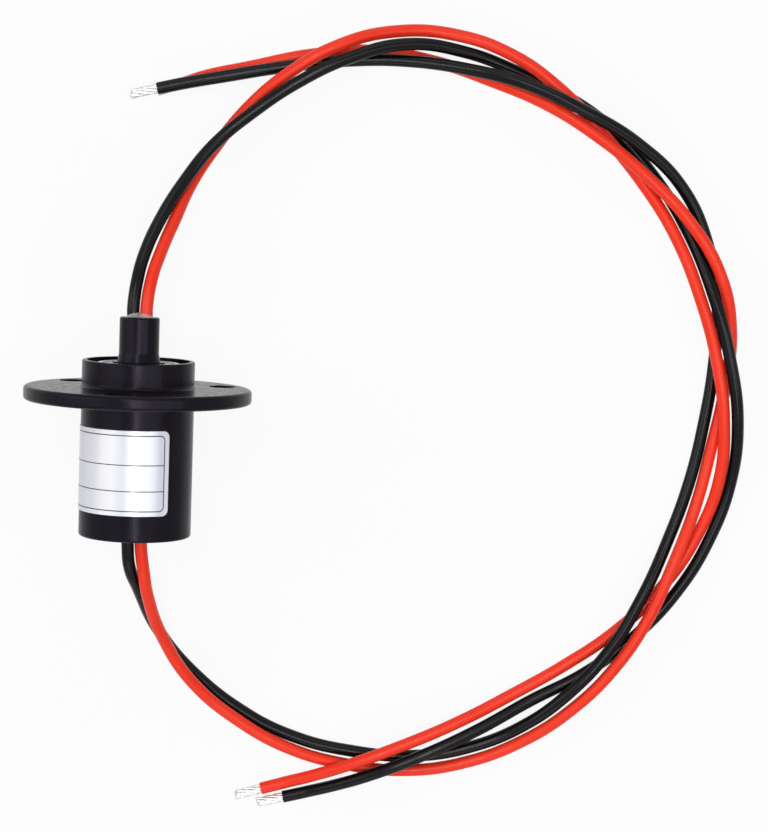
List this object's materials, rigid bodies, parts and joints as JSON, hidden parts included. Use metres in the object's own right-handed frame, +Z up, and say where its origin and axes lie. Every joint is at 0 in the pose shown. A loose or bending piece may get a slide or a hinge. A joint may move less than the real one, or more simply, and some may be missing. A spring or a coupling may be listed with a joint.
{
  "type": "slip ring",
  "caption": "Miniature capsule slip ring with a round mounting flange, a short rotor stub and insulated leads at both ends.",
  "frame": {"origin": "centre of the flange's barrel-side face, on the slip ring's axis", "axes": "+Y along the axis, out of the rotor stub; +Z up as the part lies on its side; +X to the right of someone who looks down with the stub pointing away"},
  "size_m": [0.1437, 0.1613, 0.0446],
  "materials": {
    "body_black": "satin moulded",
    "bearing_steel": "ground",
    "ball_steel": "polished",
    "cage_brass": "pressed",
    "ring_brass": "polished track",
    "brush_bronze": "rolled strip",
    "insulator": "moulded",
    "label_foil": "printed foil",
    "lead_red": "extruded insulation",
    "lead_black": "extruded insulation",
    "tinned_copper": "tinned strands",
    "sealant": "clear glue"
  },
  "bodies": {
    "stator": {"housing": "body_black", "rear_cap": "body_black", "outlet_seal": "sealant", "rating_label": "label_foil", "front_bearing_outer": "bearing_steel", "front_bearing_shield": "bearing_steel", "rear_bearing_outer": "bearing_steel", "rear_bearing_shield": "bearing_steel", "brush_holder": "insulator", "brush_red": "brush_bronze", "brush_black": "brush_bronze", "stator_core_red": "lead_red", "stator_core_black": "lead_black", "stator_lead_red": "lead_red", "stator_lead_black": "lead_black", "stator_tip_red": "tinned_copper", "stator_tip_black": "tinned_copper"},
    "rotor": {"front_bearing_inner": "bearing_steel", "rear_bearing_inner": "bearing_steel", "rotor_shaft": "body_black", "spacer_front": "bearing_steel", "barrier_front": "insulator", "contact_ring_red": "ring_brass", "barrier_middle": "insulator", "contact_ring_black": "ring_brass", "barrier_rear": "insulator", "spacer_rear": "bearing_steel", "retaining_ring": "bearing_steel", "mouth_seal": "sealant", "rotor_core_red": "lead_red", "rotor_core_black": "lead_black", "rotor_lead_red": "lead_red", "rotor_lead_black": "lead_black", "rotor_tip_red": "tinned_copper", "rotor_tip_black": "tinned_copper"},
    "front_cage": {"front_bearing_cage": "cage_brass", "front_bearing_balls": "ball_steel"},
    "rear_cage": {"rear_bearing_cage": "cage_brass", "rear_bearing_balls": "ball_steel"}
  },
  "joints": [
    {"name": "rotor_spin", "type": "hinge", "parent": "stator", "child": "rotor", "pos_m": [0, 0, 0], "axis": [0, 1, 0], "continuous": true},
    {"name": "front_cage_spin", "type": "hinge", "parent": "stator", "child": "front_cage", "pos_m": [0, 0.005, 0], "axis": [0, 1, 0], "continuous": true},
    {"name": "rear_cage_spin", "type": "hinge", "parent": "stator", "child": "rear_cage", "pos_m": [0, -0.017, 0], "axis": [0, 1, 0], "continuous": true}
  ],
  "couplings": [
    {"joint": "front_cage_spin", "follows": "rotor_spin", "ratio": 0.4167},
    {"joint": "rear_cage_spin", "follows": "rotor_spin", "ratio": 0.4167}
  ]
}
